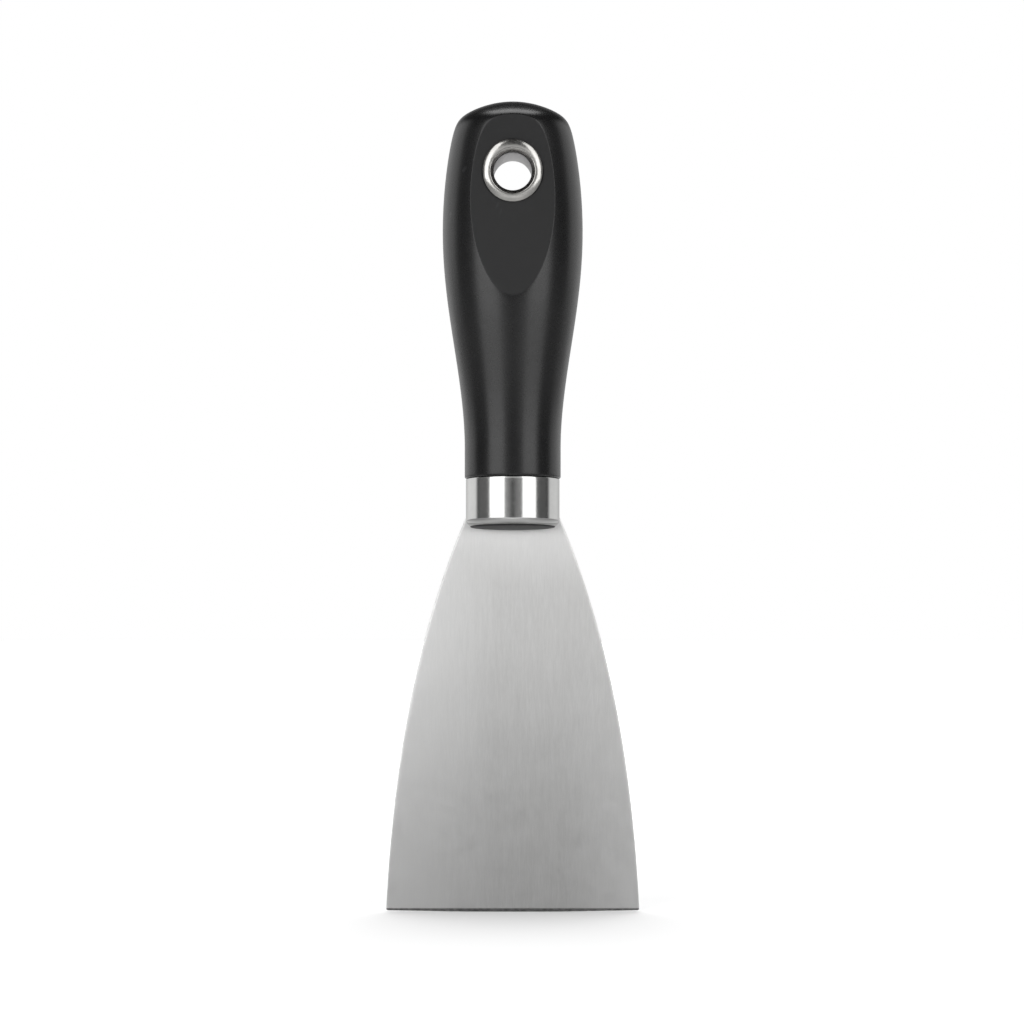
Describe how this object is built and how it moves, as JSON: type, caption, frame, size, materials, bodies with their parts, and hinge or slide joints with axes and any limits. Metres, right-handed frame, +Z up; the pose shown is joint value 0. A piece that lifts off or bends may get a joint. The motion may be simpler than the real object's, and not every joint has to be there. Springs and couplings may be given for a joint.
{
  "type": "hand scraper",
  "caption": "Stripping knife: a flared steel scraping blade in a moulded black handle, with a plated ferrule and a hanging eyelet.",
  "frame": {"origin": "centre of the hanging eyelet's bore, halfway between the two faces of the handle", "axes": "+Z up along the handle from the working edge to the butt, as the tool hangs; +Y through the thickness of the blade, along the bore; +X across the blade"},
  "size_m": [0.06, 0.0278, 0.1928],
  "materials": {
    "blade": "fine brushed steel, grain along the blade",
    "handle": "black satin moulding",
    "ferrule": "polished and plated steel",
    "hanging_eyelet": "plated, slightly dull"
  },
  "bodies": {
    "root": {"blade": "blade", "handle": "handle", "ferrule": "ferrule", "hanging_eyelet": "hanging_eyelet"}
  },
  "joints": []
}
